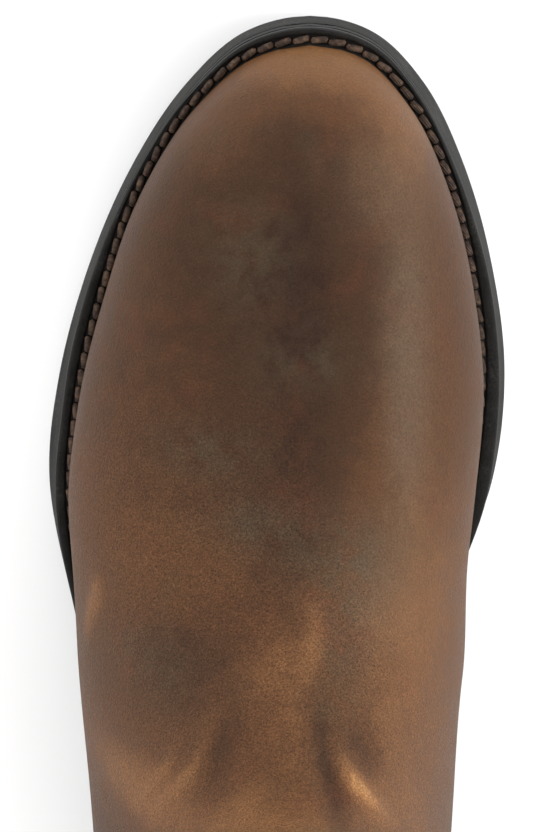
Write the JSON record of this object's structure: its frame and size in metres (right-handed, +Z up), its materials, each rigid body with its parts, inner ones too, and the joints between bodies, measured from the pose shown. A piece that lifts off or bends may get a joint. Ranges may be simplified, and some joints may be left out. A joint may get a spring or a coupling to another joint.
{
  "type": "work boot",
  "caption": "Left pull-on work boot with a round steel toe, one-piece crimped leather front, stitched welt, rubber sole with a block heel, and pull loops at the rim.",
  "frame": {"origin": "on the floor under the middle of the boot's bounding box, with the heel and the ball of the sole standing on it", "axes": "+Z up, -Y towards the toe, +X towards the boot's outer side"},
  "size_m": [0.1143, 0.306, 0.2975],
  "materials": {
    "hide": "oiled and distressed, satin",
    "piping": "smooth, satin",
    "lining": "matt pigskin",
    "textile": "matt mesh",
    "steel": "brushed",
    "cap_steel": "dull phosphate",
    "rubber": "matt",
    "welt": "satin",
    "thread": "waxed",
    "board": "matt",
    "cork": "granular",
    "foam": "open-cell, matt",
    "counter": "matt"
  },
  "bodies": {
    "boot": {"outsole": "rubber", "heel_block": "rubber", "heel_top_lift": "rubber", "heel_nail_1": "steel", "heel_nail_2": "steel", "heel_nail_3": "steel", "heel_nail_4": "steel", "heel_nail_5": "steel", "heel_nail_6": "steel", "midsole": "rubber", "welt": "welt", "welt_stitching": "thread", "insole_rib": "textile", "insole_board": "board", "cork_filler": "cork", "steel_shank": "steel", "shank_rivet_1": "steel", "shank_rivet_2": "steel", "footbed_foam": "foam", "footbed_cover": "textile", "steel_toe_cap": "cap_steel", "toe_cap_edge_trim": "rubber", "front_upper": "hide", "back_upper": "hide", "counter_cover": "hide", "heel_counter": "counter", "vamp_lining": "textile", "heel_pocket_lining": "lining", "shaft_lining_front": "lining", "shaft_lining_back": "lining", "side_piping_outer": "piping", "side_piping_inner": "piping", "top_binding": "piping", "strap_tail_outer_outside": "hide", "strap_tail_outer_inside": "hide", "strap_tail_inner_outside": "hide", "strap_tail_inner_inside": "hide"},
    "outer_loop": {"pull_loop_outer": "hide"},
    "inner_loop": {"pull_loop_inner": "hide"}
  },
  "joints": [
    {"name": "outer_loop_bend", "type": "hinge", "parent": "boot", "child": "outer_loop", "pos_m": [0.04735, 0.07325, 0.2775], "axis": [0, 1, 0], "range_deg": [-38, 38], "stiffness_Nm_per_rad": 0.02},
    {"name": "inner_loop_bend", "type": "hinge", "parent": "boot", "child": "inner_loop", "pos_m": [-0.04735, 0.07325, 0.2775], "axis": [0, 1, 0], "range_deg": [-38, 38], "stiffness_Nm_per_rad": 0.02}
  ]
}
